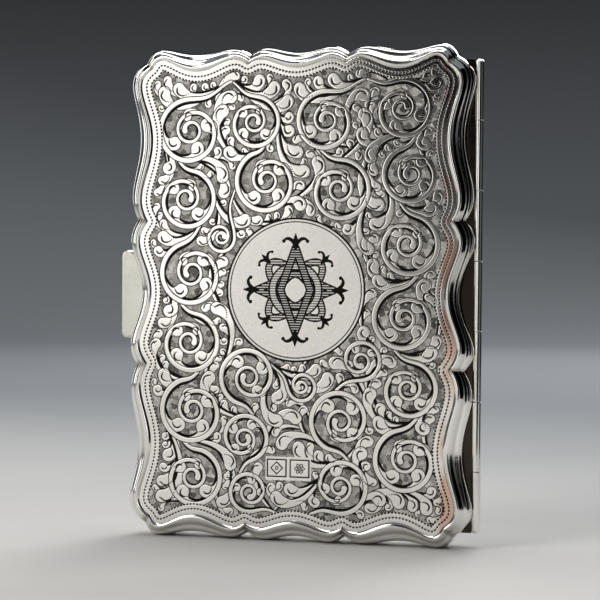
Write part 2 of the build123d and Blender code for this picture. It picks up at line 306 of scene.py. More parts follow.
class Canvas(Grid):
    """Masks of one engraved panel: leaf, cut, satin, dome (a leaf's rounding) and busy (taken).
    Room is the distance to what is taken, on a coarser grid."""

    def __init__(self, half_x, half_z):
        super().__init__(half_x, half_z, PITCH)
        self.leaf, self.cut, self.satin, self.dome, self.busy = (self.blank() for _ in range(5))
        self.coarse = Grid(half_x, half_z, 3 * PITCH)
        self.room = self.coarse.blank(ROOM_REACH)

    def cover(self, field, grow=0.0):
        return np.clip(0.5 - (field - grow) / self.pitch, 0, 1)

    def take(self, points, radii):
        radii = np.broadcast_to(radii, len(points))
        window, field = self.coarse.distance(points[::3], radii[::3], ROOM_REACH)
        self.room[window] = np.minimum(self.room[window], field)

    def deepen(self, window, mark):
        self.cut[window] = np.maximum(self.cut[window], mark)

    def raise_leaf(self, points, radii):
        """A raised leaf or stem with an engraved outline. It goes beneath what is already there."""
        window, field = self.distance(points, radii, 0.3)
        free = 1 - self.busy[window]
        body, whole = self.cover(field), self.cover(field, LINE)
        self.leaf[window] += body * free
        self.dome[window] += np.clip(-field / 0.5, 0, 1) * free
        self.deepen(window, LINE_TONE * (whole - body) * free)
        self.busy[window] = np.maximum(self.busy[window], whole)
        self.take(points, radii)

    def engrave(self, points, radii, dark=1.0, off_leaves=False):
        """A cut of varying width, anywhere or only off the leaves."""
        window, field = self.distance(points, radii, 0.15)
        mark = self.cover(field) * dark
        if off_leaves:
            mark = mark * (1 - self.leaf[window])
        self.deepen(window, mark)


def run_length(points):
    return np.concatenate([[0], np.cumsum(np.hypot(*np.diff(points, axis=0).T))])


def resample(points, step):
    """Evenly spaced points along a line, and each one's share of its length."""
    length = run_length(points)
    at = np.linspace(0, length[-1], max(int(length[-1] / step) + 1, 3))
    return np.stack([np.interp(at, length, c) for c in points.T], 1), at / length[-1]


def resample_loop(loop, step):
    return resample(np.concatenate([loop, loop[:1]]), step)[0]


def directions(points):
    """Unit tangents and left-hand normals along a line."""
    ahead = np.gradient(points, axis=0)
    ahead /= np.hypot(*ahead.T)[:, None] + 1e-9
    return ahead, np.stack([-ahead[:, 1], ahead[:, 0]], 1)


def turned(vector, angle):
    c, s = math.cos(angle), math.sin(angle)
    return np.array([c * vector[0] - s * vector[1], s * vector[0] + c * vector[1]])


def coil_share(turns):
    """Radius of a scroll after so many turns, as a share of its first, with the steps rounded off."""
    knots = np.arange(len(COIL)) / 4
    spread = np.linspace(-0.12, 0.12, 7)
    return np.mean([np.interp(turns + s, knots, COIL) for s in spread], axis=0)


def scroll(start, pole, radius, hand):
    """Stem that leaves a start circle (x, z, signed radius) in a slight bow, then coils round its pole."""
    to_pole = np.array(pole) - start[:2]
    far = np.hypot(*to_pole)
    slant = math.asin(np.clip((hand * radius - start[2]) / far, -1, 1))
    ahead = turned(to_pole / far, -slant)
    left = turned(ahead, math.pi / 2)
    leave = np.array(start[:2]) - start[2] * left
    entry = math.atan2(*(-hand * left)[::-1])
    turns = np.linspace(0, 2.2 if radius > 4.5 else 1.95, 500)
    radii = radius * coil_share(turns)
    angle = entry + hand * math.tau * turns
    coil = pole + radii[:, None] * spokes(angle)
    share = np.linspace(0, 1, 40)[:-1, None]
    bow = STEM_BOW * hand * np.hypot(*(coil[0] - leave)) * left
    stem = leave + (coil[0] - leave) * share + bow * np.sin(np.pi * share) ** 2
    path = np.concatenate([stem, coil])
    length = run_length(path)
    path_turns = np.concatenate([np.linspace(-0.2, 0, 40)[:-1], turns])
    even, share = resample(path, 0.12)
    at = np.interp(share * length[-1], length, path_turns)
    ahead, left = directions(even)
    return {"pole": np.array(pole), "radius": radius, "hand": hand, "path": even, "turns": at,
            "ahead": ahead, "inward": left * hand, "radii": radius * coil_share(np.maximum(at, 0))}


def stem_width(s):
    """Half width of a scroll's stem, thin where it starts and swollen into a bud where it ends."""
    width = 0.22 + 0.039 * s["radii"]
    width *= np.interp(s["turns"], (-0.2, 0.0), (0.45, 1.0))
    return width + np.interp(s["turns"], (s["turns"][-1] - 0.30, s["turns"][-1]), (0.0, 0.34))


def shade_scroll(canvas, s, rng):
    """Thick-and-thin cuts along the stem's inner edge."""
    width, side, turns = stem_width(s), s["inward"], s["turns"]
    start = -0.15
    while start < turns[-1] - 0.12:
        reach = 0.24 + 0.16 * rng.random()
        part = (turns >= start) & (turns <= start + reach)
        swell = np.sin(np.pi * (turns[part] - start) / reach)
        heavy = np.minimum(0.08 + 0.038 * s["radii"][part], 0.31)
        edge = s["path"][part] + side[part] * (width[part] + 0.12 + 0.5 * heavy)[:, None]
        canvas.engrave(edge, 0.05 + heavy * swell, off_leaves=True)
        start += reach + 0.01 + 0.03 * rng.random()


def comma(tail, head, side, bend):
    """Line from tail to head that bends more and more towards one side."""
    s = np.linspace(0, 1, 40)
    heading = side * math.radians(bend) * (0.35 * s + 0.65 * s ** 3)
    line = np.cumsum(spokes(heading), axis=0)
    line -= line[0]
    chord, want = line[-1], np.asarray(head) - tail
    angle = math.atan2(want[1], want[0]) - math.atan2(chord[1], chord[0])
    scale = np.hypot(*want) / np.hypot(*chord)
    return turned(line.T, angle).T * scale + tail


def leaf(canvas, tail, head, side, size, bend=120, root=0.14):
    """Comma-shaped leaf: a stalk that swells into a rolled head, with a thick-and-thin cut in its hollow."""
    line, s = resample(comma(tail, head, side, bend), 0.09)
    _, left = directions(line)
    hollow = left * side
    width = np.interp(s, (0, 0.45, 0.68, 0.86, 1), (root, 0.36 * size, 0.52 * size, 0.90 * size, size))
    canvas.raise_leaf(line, width)
    shade = (s > 0.02) & (s < 0.76)
    heavy = 0.07 + 0.17 * min(size, 1.1)
    swell = np.sin(np.pi * ((s[shade] - 0.02) / 0.74) ** 0.8)
    edge = line[shade] + hollow[shade] * (width[shade] + 0.08 + 0.5 * heavy)[:, None]
    canvas.engrave(edge, 0.04 + heavy * swell, off_leaves=True)
    curl(canvas, line, hollow, width, side, size)


def curl(canvas, line, hollow, width, side, size):
    """The cut that rolls a leaf's head up."""
    i = int(0.72 * (len(line) - 1))
    centre = line[-1]
    arm = line[i] + hollow[i] * width[i] * 0.95 - centre
    u = np.linspace(0, 1, 22)
    angle = math.atan2(arm[1], arm[0]) + side * u * math.radians(210)
    radius = np.hypot(*arm) + (0.34 * size - np.hypot(*arm)) * np.clip(1.6 * u, 0, 1) ** 0.7
    width = 0.05 + 0.09 * size * np.sin(np.pi * (0.12 + 0.88 * u))
    canvas.engrave(centre + radius[:, None] * spokes(angle), width)


def fill_coil(canvas, s, rng):
    """Leaves that spring from a scroll's stem and roll up against its next turn in."""
    width, side = stem_width(s), s["inward"]
    at = 0.14
    while at < 0.86:
        i = int(np.searchsorted(s["turns"], at))
        inner = s["radius"] * float(coil_share(at + 1.12))
        gap = s["radii"][i] - inner - width[i] - 0.45
        size = min(0.50 * gap, 1.4)
        if size < 0.62:
            return
        arm = s["path"][i] - s["pole"]
        swing = math.radians(26 + 150 * size / s["radii"][i])
        head = s["pole"] + turned(arm / np.hypot(*arm), s["hand"] * swing) * (inner + 0.42 + 0.95 * size)
        leaf(canvas, s["path"][i] + side[i] * 0.05, head, s["hand"], size, root=0.26)
        at += (0.08 + 0.66 * size / s["radii"][i]) * (0.94 + 0.12 * rng.random())


def fill_gaps(canvas, scrolls, rng):
    """Leaves grow from the stems into the widest gaps outside the scrolls until only narrow ones are left."""
    for s in scrolls:
        canvas.take(s["pole"][None], 0.85 * s["radius"])
    roots, flow = (np.concatenate([s[key][s["turns"] < ROOT_TURNS][::4] for s in scrolls])
                   for key in ("path", "ahead"))
    probes = np.linspace(0.2, 0.9, 7)[None, :, None]
    for _ in range(600):
        row, col = np.unravel_index(np.argmax(canvas.room), canvas.room.shape)
        room = canvas.room[row, col]
        if room < SMALLEST_GAP:
            return
        head = np.array([canvas.coarse.x[col], canvas.coarse.z[row]])
        size = min(0.66 * room, 1.3)
        arm = head - roots
        far = np.hypot(*arm.T) + 1e-6
        score = 1.3 * (arm * flow).sum(1) / far - 0.22 * np.abs(far - 3.4 - 4.6 * size)
        score -= 9 * (far < size + 1.0)
        best = np.argsort(score)[-150:]
        path = roots[best, None] + arm[best, None] * probes
        cols, rows = (np.clip(np.searchsorted(axis, path[..., k]), 0, len(axis) - 1)
                      for k, axis in enumerate((canvas.coarse.x, canvas.coarse.z)))
        blocked = (canvas.room[rows, cols] < 0.15).mean(1)
        pick = best[np.argmax(score[best] - 7.0 * blocked)]
        across = flow[pick, 0] * arm[pick, 1] - flow[pick, 1] * arm[pick, 0]
        side = 1 if across > 0 else -1
        leaf(canvas, roots[pick], head, side, size, bend=80 + 60 * rng.random())
        canvas.take(head[None], 0.8 * size)
        stalk, _ = resample(comma(roots[pick], head, side, 100), 0.6)
        roots = np.concatenate([roots, stalk[:-2]])
        flow = np.concatenate([flow, directions(stalk)[0][:-2]])


def inset(loop, depth):
    """The closed outline moved inwards, without the parts that fold back near its inner corners."""
    line = resample_loop(loop, 0.15)
    _, left = directions(line)
    moved = line + left * depth
    far = np.array([np.hypot(*(line - point).T).min() for point in moved])
    return moved[far > depth - 0.03]


def inside(loop, grid):
    """True at the grid points inside a closed outline."""
    mask = grid.blank() > 1
    ahead = np.roll(loop, -1, axis=0)
    for row, z in enumerate(grid.z):
        crossing = (loop[:, 1] <= z) != (ahead[:, 1] <= z)
        (x0, z0), (x1, z1) = loop[crossing].T, ahead[crossing].T
        mask[row] = np.searchsorted(np.sort(x0 + (z - z0) / (z1 - z0) * (x1 - x0)), grid.x) % 2 == 1
    return mask


def from_marks(grid):
    """Distance from the box of the marks. It is negative inside."""
    x, z, half_x, half_z = MARKS
    return np.maximum(abs(grid.x[None, :] - x) - half_x, abs(grid.z[:, None] - z) - half_z)


def keep_clear(grid, marks):
    """Distance from the cartouche, and from the marks if the panel has them. It is negative inside them."""
    x, z, radius = CARTOUCHE
    clear = grid.away(x, z) - radius - 0.25
    return np.minimum(clear, from_marks(grid)) if marks else clear


def draw_border(canvas, border):
    """Plain bright band round the panel, between two rows of punched dashes."""
    line = resample_loop(border, PITCH)
    window, field = canvas.distance(line, BAND, 0.3)
    canvas.leaf[window] = canvas.cover(field)
    canvas.busy[window] = canvas.cover(field, 0.1)
    canvas.take(line, BAND)
    for depth in DASH_ROWS:
        line = resample_loop(inset(border, depth), DASH_PITCH / 8)
        for start in range(0, len(line) - 8, 8):
            canvas.engrave(line[start:start + 3], DASH_WIDTH / 2)


def circle(x, z, radius, count):
    angle = np.linspace(0, math.tau, count)
    return np.array([x, z]) + radius * spokes(angle)


def draw_cartouche(canvas):
    """Round satin field inside a strong ring and a fine one."""
    x, z, radius = CARTOUCHE
    field = canvas.cover(canvas.away(x, z) - radius)
    canvas.satin = field
    canvas.leaf = np.maximum(canvas.leaf, field)
    canvas.busy *= 1 - field
    canvas.cut *= 1 - field
    canvas.engrave(circle(x, z, radius, 900), 0.18)
    canvas.engrave(circle(x, z, radius - 0.68, 800), 0.10)


def draw_ribbon(canvas, line, half_width, hatch):
    """Flat ribbon with dark edges, hatched across. It goes beneath what is already there."""
    line, _ = resample(line, 0.1)
    window, field = canvas.distance(line, half_width, 0.3)
    free = 1 - canvas.busy[window]
    edge = canvas.cover(abs(field) - 0.15)
    stripes = 0.6 + 0.4 * np.sin(math.tau * canvas.z[window[0]][:, None] / 0.5)
    canvas.deepen(window, 0.9 * np.maximum(edge, canvas.cover(field) * hatch * stripes) * free)
    canvas.busy[window] = np.maximum(canvas.busy[window], canvas.cover(field, 0.1))


def draw_tip(canvas, root, angle, size):
    """Three-lobed tip: a bud between two curls."""
    ahead = spokes(angle)
    side = turned(ahead, math.pi / 2)
    share = np.linspace(0, 1, 30)
    bud = root + ahead * size * 1.5 * share[:, None]
    width = size * np.interp(share, (0, 0.25, 0.6, 1), (0.10, 0.26, 0.22, 0.02))
    canvas.engrave(bud, width, 0.85)
    for turn in (1, -1):
        line = comma(root, root + ahead * 0.75 * size + side * turn * 1.15 * size, turn, 150)
        swell = np.sin(np.pi * np.linspace(0, 1, len(line)))
        canvas.engrave(line, size * (0.07 + 0.10 * swell), 0.85)
        canvas.engrave(line[-1:], 0.17 * size, 0.9)


def draw_ornament(canvas):
    """Symmetrical knot in the cartouche: two lozenges, two ovals and a ring, laced, with curled tips."""
    x, z, _ = CARTOUCHE
    centre = np.array([x, z])
    t = np.linspace(0, math.tau, 300)
    draw_ribbon(canvas, centre + LOZENGE * (3.2, 8.6), 0.74, 1.0)
    draw_ribbon(canvas, centre + 4.9 * spokes(t), 0.74, 0.62)
    draw_ribbon(canvas, centre + LOZENGE[:, ::-1] * (8.2, 3.4), 0.66, 0.9)
    for turn in (1, -1):
        oval = turned((2.9 * np.cos(t), 7.6 * np.sin(t)), turn * math.pi / 4).T
        draw_ribbon(canvas, centre + oval, 0.66, 0.75)
    for quarter, reach in enumerate((8.4, 8.0, 8.4, 8.0), 1):
        angle = math.pi / 2 * quarter
        draw_tip(canvas, centre + reach * spokes(angle), angle, 2.2)
        corner = angle + math.pi / 4
        draw_tip(canvas, centre + 7.8 * spokes(corner), corner, 1.7)


def draw_marks(canvas):
    """Two plain punches under the cartouche: a lozenge and a rosette, each in an engraved square."""
    x, z, half_x, _ = MARKS
    box = from_marks(canvas) < 0
    canvas.leaf[box] = 1
    canvas.cut[box] = 0
    for index in (0, 1):
        centre = np.array([x + (index - 0.5) * half_x, z])
        corners = np.array([(-1, -1), (1, -1), (1, 1), (-1, 1), (-1, -1)]) * (2.0, 1.75)
        square, _ = resample(centre + corners, 0.1)
        canvas.engrave(square, 0.14, 0.85)
        if index:
            petals = [circle(*(centre + 0.75 * spokes(k * math.pi / 3)), 0.28, 30) for k in range(6)]
            for petal in petals + [circle(*centre, 0.22, 30)]:
                canvas.engrave(petal, 0.09, 0.8)
        else:
            canvas.engrave(resample(centre + 1.25 * LOZENGE, 0.1)[0], 0.12, 0.85)
            canvas.engrave(circle(*centre, 0.3, 30), 0.1, 0.8)


def engrave_panel(border, marks, seed):
    """All the engraving of one panel. The one without marks is the same design turned upside down."""
    rng = np.random.default_rng(seed)
    canvas = Canvas(*PANEL_HALF)
    flip = 1 if marks else -1
    canvas.busy[~inside(border, canvas)] = 1
    canvas.room[~inside(border, canvas.coarse)] = -1
    canvas.busy[keep_clear(canvas, marks) < 0] = 1
    canvas.room = np.minimum(canvas.room, keep_clear(canvas.coarse, marks))
    draw_border(canvas, border)
    scrolls = []
    for (start_x, start_z), hand, coils in VINES:
        start = (start_x, start_z * flip, 0.0)
        hand *= flip
        for x, z, radius in coils:
            scrolls.append(scroll(start, (x, z * flip), radius, hand))
            start = (x, z * flip, hand * radius)
            hand = -hand
    for stem in scrolls:
        canvas.raise_leaf(stem["path"], stem_width(stem))
    for stem in scrolls:
        fill_coil(canvas, stem, rng)
    for stem in scrolls:
        shade_scroll(canvas, stem, rng)
    fill_gaps(canvas, scrolls, rng)
    draw_cartouche(canvas)
    if marks:
        draw_marks(canvas)
        draw_ornament(canvas)
    return canvas


def waviness(x, z, seed):
    """Slow unevenness of hammered and polished sheet, in millimetres."""
    rng = np.random.default_rng(seed)
    height = 0
    for _ in range(9):
        length = rng.uniform(9, 30)
        angle, phase = rng.uniform(0, math.tau, 2)
        along = x * math.cos(angle) + z * math.sin(angle)
        height = height + length * np.sin(math.tau * along / length + phase)
    return WAVE_SLOPE * height / 9


def build_panel(half, front, material):
    """The engraved plate, cut in real relief. Its edge runs under the moulding's bead."""
    seed = 3 if front else 8
    canvas = engrave_panel(outline(0.0), front, seed)
    keep = inside(outline(0.07), canvas)
    x, z = np.meshgrid(canvas.x, canvas.z)
    height = -GROUND_DEPTH * (1 - canvas.leaf) - CUT_DEPTH * canvas.cut + LEAF_RISE * canvas.dome
    height = height + waviness(x, z, seed)
    number = np.full(keep.shape, -1)
    number[keep] = np.arange(keep.sum())
    a, b, c, d = number[:-1, :-1], number[:-1, 1:], number[1:, 1:], number[1:, :-1]
    full = (a >= 0) & (b >= 0) & (c >= 0) & (d >= 0)
    top = np.stack([a[full], b[full], c[full], d[full]], 1)
    points = to_world(x[keep], height[keep], z[keep], front)
    skirt, points = close_plate(top, points, x[keep], z[keep], front)
    faces = [top] + skirt if front else [f[:, ::-1] for f in [top] + skirt]
    panel = add_piece(half + "_panel", points, faces, [material], half + "_half", [half + "_cover"])
    extra = len(points) - int(keep.sum())
    for mask in ("leaf", "cut", "satin"):
        set_mask(panel, mask, np.append(getattr(canvas, mask)[keep], np.ones(extra)))


def close_plate(top, points, x, z, front):
    """Side and bottom faces that turn the panel's top sheet into a closed plate."""
    edges = np.concatenate([top[:, [0, 1]], top[:, [1, 2]], top[:, [2, 3]], top[:, [3, 0]]])
    keys = edges.min(1).astype(np.int64) * len(points) + edges.max(1)
    _, where, count = np.unique(keys, return_index=True, return_counts=True)
    rim = edges[where[count == 1]]
    used = np.unique(rim)
    below = np.full(len(points), -1)
    below[used] = len(points) + np.arange(len(used))
    centre = len(points) + len(used)
    under = to_world(np.append(x[used], 0), -PLATE_DEPTH, np.append(z[used], 0), front)
    sides = np.stack([rim[:, 1], rim[:, 0], below[rim[:, 0]], below[rim[:, 1]]], 1)
    bottom = np.stack([below[rim[:, 1]], below[rim[:, 0]], np.full(len(rim), centre)], 1)
    return [sides, bottom], np.concatenate([points, under])


def hinge_floor(x, z):
    """Lowest height of the moulding: the seam, or the seat of the bearer strip and barrel at the hinge."""
    seat = (x > BEARER_LOW[0]) & (abs(z) < BEARER_HIGH[2])
    across = np.clip(1 - ((HINGE_X - x) / BARREL_CLEARANCE) ** 2, 0, 1)
    barrel = np.where(across > 0, SEAM_Y + BARREL_CLEARANCE * np.sqrt(across), SEAM_Y)
    floor = np.where(seat, BEARER_HIGH[1], SEAM_Y + SEAM_GAP)
    return np.where(abs(z) < BEARER_HIGH[2] + 1, np.maximum(floor, barrel), floor)


def build_moulding(half, front, material):
    """The raised bead, hollow and rolled wall round a half, as a closed shell swept round the outline."""
    section = np.concatenate([smooth_section(MOULDING, 4), np.array(CAVITY)])
    rings = []
    for share, height in section:
        x, z = outline(share).T
        rings.append(to_world(x, np.maximum(height, hinge_floor(x, z)), z, front))
    around = len(rings[0])
    points = np.concatenate(rings)
    faces = ring_faces(len(rings), around, closed=True)[:, ::-1 if front else 1]
    moulding = add_piece(half + "_moulding", points, [faces], [material], half + "_half", [half + "_cover"],
                         smooth_angle=42)
    # Painted shade: a mask that is dark at the foot against the panel, in the cove and across the creases at
    # the cusps.
    step = np.arange(around) % SCALLOP_STEPS
    cusp = np.minimum(step, SCALLOP_STEPS - step)
    foot = np.exp(-(section[:, 0] / 0.03) ** 2)[:, None]
    cove = 0.35 * np.exp(-((section[:, 0] - 0.55) / 0.08) ** 2)[:, None]
    corner = np.exp(-(cusp / 1.6) ** 2)[None, :]
    set_mask(moulding, "painted_shade", np.clip(foot + cove + corner, 0, 1))


# Materials

class Tree:
    """A node material being wired. An input's value may be a number, a colour or another node's output."""

    def __init__(self, name):
        self.material = bpy.data.materials.new(name)
        self.material.use_nodes = True
        self.nodes = self.material.node_tree.nodes
        self.links = self.material.node_tree.links
        self.surface = self.nodes["Principled BSDF"]

    def fill(self, node, inputs):
        for key, value in inputs.items():
            socket = node.inputs[key]
            if isinstance(value, bpy.types.NodeSocket):
                self.links.new(value, socket)
            elif isinstance(value, tuple) and len(value) == 3 and socket.type == "RGBA":
                socket.default_value = (*value, 1)
            else:
                socket.default_value = value
        return node

    def add(self, kind, inputs=None, **settings):
        node = self.nodes.new("ShaderNode" + kind)
        for key, value in settings.items():
            setattr(node, key, value)
        return self.fill(node, inputs or {})

    def place(self):
        """Position in metres, the same at every pose."""
        return self.add("TexCoord").outputs["Object"]

    def axes(self):
        return self.add("SeparateXYZ", {0: self.place()}).outputs

    def distance(self, place, centre):
        return self.add("VectorMath", {0: place, 1: centre}, operation="DISTANCE").outputs["Value"]

    def mask(self, name):
        return self.add("Attribute", attribute_name=name).outputs["Fac"]

    def noise(self, scale, detail=3.0, stretch=None):
        place = self.place()
        if stretch:
            place = self.add("Mapping", {"Vector": place, "Scale": stretch}).outputs[0]
        noise = self.add("TexNoise", {"Vector": place, "Scale": scale, "Detail": detail, "Roughness": 0.55})
        return noise.outputs["Fac"]

    def cells(self, size, **settings):
        """Outputs of a pattern of cells, of about this size in millimetres."""
        return self.add("TexVoronoi", {"Vector": self.place(), "Scale": 1 / (size * MM)}, **settings).outputs

    def patches(self, low, high, scale, detail, stretch=None):
        """Noise that is 0 up to its low value and 1 above its high one."""
        return self.remap(self.noise(scale, detail, stretch), low, high)

    def remap(self, value, low, high, to_low=0.0, to_high=1.0):
        limits = {0: value, 1: low, 2: high, 3: to_low, 4: to_high}
        return self.add("MapRange", limits, interpolation_type="SMOOTHSTEP").outputs[0]

    def math(self, operation, a, *others):
        for b in others or (0.0,):
            a = self.add("Math", {0: a, 1: b}, operation=operation).outputs[0]
        return a

    def plus(self, *values):
        return self.math("ADD", *values)

    def times(self, *values):
        return self.math("MULTIPLY", *values)

    def wave(self, distance, length):
        """Sine of a distance, with its wave length in millimetres."""
        return self.math("SINE", self.times(distance, math.tau / (length * MM)))

    def mix(self, share, a, b):
        """Colour or number between a and b."""
        if any(isinstance(value, tuple) or getattr(value, "type", "") == "RGBA" for value in (a, b)):
            return self.add("Mix", {0: share, 6: a, 7: b}, data_type="RGBA").outputs[2]
        return self.add("Mix", {0: share, 2: a, 3: b}, data_type="FLOAT").outputs[0]

    def bump(self, height, depth):
        bump = self.add("Bump", {"Height": height, "Distance": depth * MM, "Strength": 1.0})
        self.links.new(bump.outputs[0], self.surface.inputs["Normal"])

    def finish(self, **inputs):
        self.fill(self.surface, {key.replace("_", " "): value for key, value in inputs.items()})
        return self.material


def hatch(tree):
    """The engraver's ground: small patches of parallel strokes, each patch with its own slant."""
    shade = tree.add("SeparateColor", {0: tree.cells(1.1)["Color"]})
    x, _, z = tree.axes()
    slant = tree.times(shade.outputs[0], math.tau)
    across = tree.plus(tree.times(x, tree.math("COSINE", slant)), tree.times(z, tree.math("SINE", slant)))
    wander = tree.times(tree.noise(1 / (0.9 * MM), 2.0), 2.2)
    phase = tree.plus(tree.times(across, math.tau / (0.32 * MM)), wander)
    strokes = tree.remap(tree.math("SINE", phase), -0.5, 0.9)
    return strokes, shade.outputs[1]


def engraved_silver():
    tree = Tree("engraved_silver")
    leaf, cut, satin = (tree.remap(tree.mask(name), 0.12, 0.62) for name in ("leaf", "cut", "satin"))
    strokes, patch = hatch(tree)
    broad = tree.noise(60, 4.0)
    fine = tree.noise(2600)
    scratches = tree.noise(900, 2.0, (1, 1, 0.12))
    flecks = tree.patches(0.48, 0.64, 2200, 2.0)
    tone = tree.plus(tree.times(strokes, 0.30), tree.times(patch, 0.62), tree.times(flecks, 0.14))
    ground = tree.mix(tone, (0.0, 0.0, 0.0), (0.80, 0.775, 0.73))
    bright = tree.mix(tree.remap(broad, 0.3, 0.7), (0.97, 0.945, 0.90), (0.90, 0.875, 0.83))
    plain = tree.mix(tree.remap(fine, 0.3, 0.75), (0.92, 0.90, 0.86), (0.82, 0.80, 0.765))
    worn = tree.times(tree.remap(tree.axes()[0], 30.2 * MM, 31.4 * MM), tree.patches(0.42, 0.6, 75, 3.0))
    bright = tree.mix(worn, bright, (0.76, 0.52, 0.42))
    colour = tree.mix(leaf, ground, bright)
    colour = tree.mix(satin, colour, plain)
    colour = tree.mix(cut, colour, (0.012, 0.011, 0.010))
    polish = tree.plus(tree.remap(broad, 0.3, 0.7, 0.05, 0.10), tree.times(scratches, 0.05))
    roughness = tree.mix(leaf, tree.remap(patch, 0, 1, 0.20, 0.42), polish)
    roughness = tree.mix(satin, roughness, 0.36)
    roughness = tree.mix(cut, roughness, 0.5)
    relief = tree.plus(tree.times(strokes, tree.math("SUBTRACT", 1.0, leaf)),
                       tree.times(fine, tree.mix(satin, 0.05, 0.30)))
    tree.bump(relief, 0.035)
    return tree.finish(Base_Color=colour, Metallic=1.0, Roughness=roughness)


def polished_metal(name, colour, deep, roughness=(0.05, 0.16), masked=False):
    """Polished metal with fine scratches, slow colour change and, when masked, painted shade where its mask
    is high.
    """
    tree = Tree(name)
    broad = tree.noise(45, 4.0)
    scratches = tree.noise(700, 3.0, (1, 1, 0.08))
    cross = tree.noise(650, 3.0, (0.1, 1, 1))
    specks = tree.patches(0.68, 0.76, 420, 2.0)
    shade = tree.remap(broad, 0.32, 0.72, 0.0, 0.35)
    # Painted shade: the moulding's mask darkens its foot, its cove and the creases at its cusps.
    if masked:
        shade = tree.math("MAXIMUM", shade, tree.times(tree.mask("painted_shade"), 0.9))
    base = tree.mix(tree.math("MAXIMUM", shade, tree.times(specks, 0.5)), colour, deep)
    wear = tree.math("MAXIMUM", scratches, cross)
    polish = tree.remap(tree.plus(tree.times(broad, 0.5), tree.times(wear, 0.5)), 0.35, 0.75, *roughness)
    tree.bump(wear, 0.012)
    return tree.finish(Base_Color=base, Metallic=1.0, Roughness=polish)


def leather(name, colour, deep):
    tree = Tree(name)
    cells = tree.cells(0.55, feature="DISTANCE_TO_EDGE")
    grain = tree.remap(cells["Distance"], 0.0, 0.25)
    tone = tree.times(tree.patches(0.3, 0.7, 70, 5.0), tree.remap(grain, 0, 1, 0.55, 1.0))
    base = tree.mix(tone, deep, colour)
    tree.bump(tree.plus(grain, tree.times(tree.noise(3000, 4.0), 0.4)), 0.05)
    worn = tree.remap(grain, 0, 1, 0.62, 0.42)
    return tree.finish(Base_Color=base, Roughness=worn, Specular_IOR_Level=0.45)


def silk():
    tree = Tree("ribbed_silk")
    x, _, z = tree.axes()
    weave = tree.plus(tree.wave(z, 0.22), tree.times(tree.wave(x, 0.12), 0.4))
    broad = tree.patches(0.3, 0.7, 110, 4.0, (1, 1, 0.3))
    tone = tree.times(broad, tree.remap(weave, -1.4, 1.4, 0.6, 1.0))
    base = tree.mix(tone, (0.34, 0.185, 0.095), (0.50, 0.30, 0.165))
    tree.bump(weave, 0.03)
    return tree.finish(Base_Color=base, Roughness=0.42, Sheen_Weight=0.5, Sheen_Roughness=0.35)


def millboard():
    tree = Tree("millboard")
    fibres = tree.noise(1500, 5.0, (1, 1, 0.25))
    base = tree.mix(tree.remap(fibres, 0.3, 0.7), (0.40, 0.34, 0.25), (0.62, 0.55, 0.43))
    base = tree.mix(tree.times(tree.patches(0.66, 0.72, 900, 2.0), 0.6), base, (0.22, 0.18, 0.12))
    tree.bump(fibres, 0.05)
    return tree.finish(Base_Color=base, Roughness=0.85)


def waxed_thread():
    tree = Tree("waxed_thread")
    x, _, z = tree.axes()
    twist = tree.wave(tree.plus(x, z), 0.25)
    base = tree.mix(tree.remap(twist, -1, 1), (0.36, 0.22, 0.11), (0.66, 0.47, 0.27))
    tree.bump(twist, 0.02)
    return tree.finish(Base_Color=base, Roughness=0.55)


def studio_sweep():
    """Floor that is palest in front of the object and darkens behind it and up the sweep: painted falloff of
    light.
    """
    tree = Tree("studio_sweep")
    x, y, z = tree.axes()
    flat = tree.add("CombineXYZ", {0: x, 1: y})
    away = tree.distance(flat.outputs[0], (-0.1, -0.45, 0.0))
    pale = tree.mix(tree.patches(0.35, 0.65, 9, 4.0), (0.68, 0.665, 0.64), (0.63, 0.617, 0.595))
    # Painted falloff of light: the colour darkens away from the pale pool in front of the object, and darker
    # still up the sweep.
    base = tree.mix(tree.remap(away, 0.28, 0.92), pale, (0.25, 0.265, 0.28))
    base = tree.mix(tree.remap(z, 0.0, 0.34), base, (0.085, 0.086, 0.089))
    tree.bump(tree.noise(500), 0.02)
    return tree.finish(Base_Color=base, Roughness=0.8, Specular_IOR_Level=0.0)


# Inside of the case

def rounded_rectangle(low, high, radius, corner_steps=8, edge_steps=24):
    """Closed rectangle (x, z) with round corners, counterclockwise."""
    (x0, z0), (x1, z1) = low + radius, high - radius
    corners = []
    for start, centre in enumerate(((x1, z1), (x0, z1), (x0, z0), (x1, z0))):
        angle = np.radians(np.linspace(90 * start, 90 * start + 90, corner_steps))
        corners.append(centre + radius * spokes(angle))
    loop = []
    for corner, following in zip(corners, corners[1:] + corners[:1]):
        share = np.linspace(0, 1, edge_steps + 1)[1:-1, None]
        loop += [corner, corner[-1] + (following[0] - corner[-1]) * share]
    return np.concatenate(loop)


def shrink(loop, depth):
    """The closed line moved inwards by depth, point for point. A corner rounder than that turns sharp."""
    ahead = np.roll(loop, -1, axis=0) - np.roll(loop, 1, axis=0)
    ahead /= np.hypot(*ahead.T)[:, None]
    moved = loop + np.stack([-ahead[:, 1], ahead[:, 0]], 1) * depth
    return np.clip(moved, loop.min(0) + depth, loop.max(0) - depth)


def sheet(node, piece_end, loop, base, out, profile, materials, body):
    """Closed sheet on the plane y = base. The profile's (inset, thickness) steps run in from its edge, and
    one band of it is of the second material."""
    rings = []
    for depth, thickness in profile:
        x, z = shrink(loop, depth).T
        rings.append(np.stack([x, np.full(len(x), base + out * thickness), z], 1))
    around, count = len(loop), len(rings)
    points = np.concatenate(rings + [rings[0].mean(0)[None], rings[-1].mean(0)[None]])
    under = fan(np.arange(around), count * around)[:, ::-1]
    over = fan(np.arange(around) + (count - 1) * around, count * around + 1)
    faces = [ring_faces(count, around), under, over]
    if out > 0:
        faces = [f[:, ::-1] for f in faces]
    piece = add_piece(node + piece_end, points, faces, materials, body, [node], smooth_angle=50)
    for index in range(GILT_BAND * around, (GILT_BAND + 1) * around):
        piece.data.polygons[index].material_index = 1


